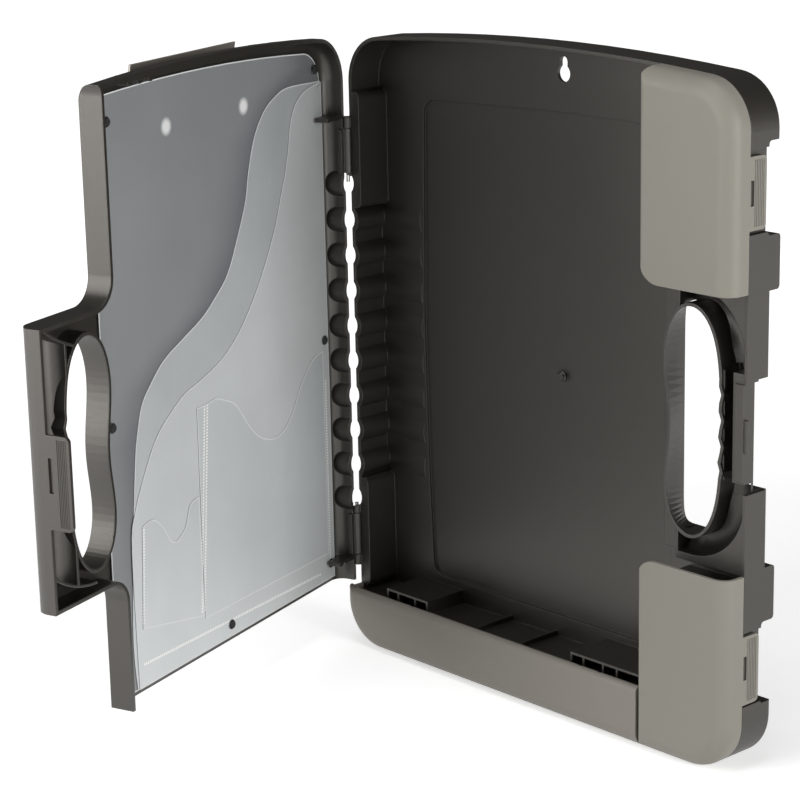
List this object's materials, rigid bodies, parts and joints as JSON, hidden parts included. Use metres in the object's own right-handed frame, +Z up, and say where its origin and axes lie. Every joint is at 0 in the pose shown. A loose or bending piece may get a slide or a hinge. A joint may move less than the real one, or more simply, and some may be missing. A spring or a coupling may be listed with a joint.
{
  "type": "storage clipboard box",
  "caption": "Slim storage case that opens like a book, with a clipboard lid, clear document pockets, corner doors, a pen compartment and a moulded grip.",
  "frame": {"origin": "centre of the hanging hole's round entry, in the plane of the case's back face", "axes": "+Z up along the case's height, +Y out of the back, +X from the hinge side to the grip side of the base"},
  "size_m": [0.323, 0.3227, 0.382],
  "materials": {
    "case_plastic": "fine moulded texture, charcoal",
    "lid_plastic": "fine moulded texture, charcoal",
    "door_plastic": "fine moulded texture, warm grey",
    "strip_plastic": "fine moulded texture, warm grey",
    "pin_steel": "drawn wire",
    "clip_steel": "plated sheet",
    "clip_paint": "satin grey",
    "pad_rubber": "soft black",
    "sheet_back": "frosted film",
    "sheet_front": "frosted film",
    "rivet_plastic": "black"
  },
  "bodies": {
    "base": {"base_tray": "case_plastic", "lid_hinge_pins": "pin_steel", "upper_door_pins": "pin_steel", "lower_door_pins": "pin_steel", "strip_door_pins": "pin_steel"},
    "lid": {"lid_shell": "lid_plastic", "clip_base_plate": "clip_steel", "clip_spring": "clip_steel", "clip_pivot_pin": "clip_steel", "clip_rivets": "clip_steel", "backing_sheet": "sheet_back", "wide_pocket_sheet": "sheet_front", "narrow_pocket_sheet": "sheet_front", "letter_card_pocket": "sheet_front", "small_card_pocket": "sheet_front", "sheet_rivets": "rivet_plastic"},
    "clip": {"clip_lever": "clip_paint", "clip_grip_pad": "pad_rubber"},
    "upper_door": {"upper_corner_door": "door_plastic"},
    "lower_door": {"lower_corner_door": "door_plastic"},
    "strip_door": {"pen_strip_door": "strip_plastic"}
  },
  "joints": [
    {"name": "lid_hinge", "type": "hinge", "parent": "base", "child": "lid", "pos_m": [-0.158, -0.0245, -0.1735], "axis": [0, 0, -1], "range_deg": [-71.3, 108.7]},
    {"name": "upper_door_hinge", "type": "hinge", "parent": "base", "child": "upper_door", "pos_m": [0.0927, -0.0363, -0.0325], "axis": [0, 0, -1], "range_deg": [0, 90]},
    {"name": "lower_door_hinge", "type": "hinge", "parent": "base", "child": "lower_door", "pos_m": [0.0927, -0.0363, -0.3085], "axis": [0, 0, -1], "range_deg": [0, 90]},
    {"name": "strip_door_hinge", "type": "hinge", "parent": "base", "child": "strip_door", "pos_m": [-0.0335, -0.0363, -0.3307], "axis": [-1, 0, 0], "range_deg": [0, 92]},
    {"name": "clip_hinge", "type": "hinge", "parent": "lid", "child": "clip", "pos_m": [-0.13401, -0.15838, -0.0145], "axis": [-0.3206, 0.9472, 0], "range_deg": [0, 13], "stiffness_Nm_per_rad": 0.3, "springref_deg": -20.05, "deforming": ["clip_spring"]}
  ]
}
